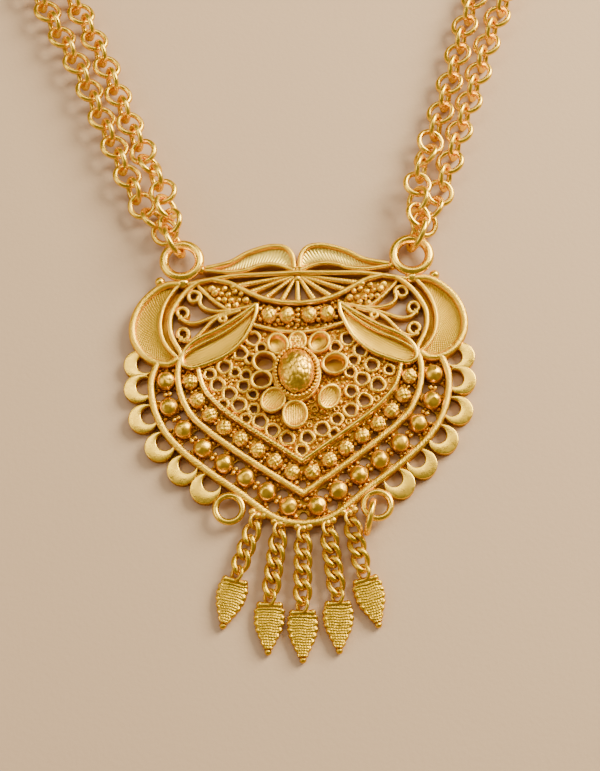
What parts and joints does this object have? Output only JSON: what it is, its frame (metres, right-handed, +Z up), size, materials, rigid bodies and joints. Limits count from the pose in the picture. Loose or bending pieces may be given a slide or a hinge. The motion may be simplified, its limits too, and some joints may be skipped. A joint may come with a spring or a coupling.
{
  "type": "filigree necklace",
  "caption": "Gold filigree necklace with a pierced, beaded pendant, double round-link chains on both sides and short drop tassels, lying flat as a closed loop.",
  "frame": {"origin": "middle of the necklace's box, on the surface that it lies on", "axes": "+X across the pendant, +Y from the tassels to the clasp, +Z up from the surface"},
  "size_m": [0.1334, 0.222, 0.0053],
  "materials": {
    "filigree_gold": "polished wires over a frosted sheet",
    "chain_gold": "polished",
    "tassel_gold": "polished, with dark recesses"
  },
  "bodies": {
    "root": {"pendant": "filigree_gold", "jump_ring_left": "chain_gold", "jump_ring_right": "chain_gold", "loose_jump_ring": "chain_gold", "strand_left_outer": "chain_gold", "strand_left_inner": "chain_gold", "strand_right_outer": "chain_gold", "strand_right_inner": "chain_gold", "back_left_outer": "chain_gold", "back_left_inner": "chain_gold", "back_right_outer": "chain_gold", "back_right_inner": "chain_gold", "clasp": "chain_gold", "tassel_1": "tassel_gold", "tassel_2": "tassel_gold", "tassel_3": "tassel_gold", "tassel_4": "tassel_gold", "tassel_5": "tassel_gold", "drop_1": "tassel_gold", "drop_2": "tassel_gold", "drop_3": "tassel_gold", "drop_4": "tassel_gold", "drop_5": "tassel_gold"}
  },
  "joints": []
}
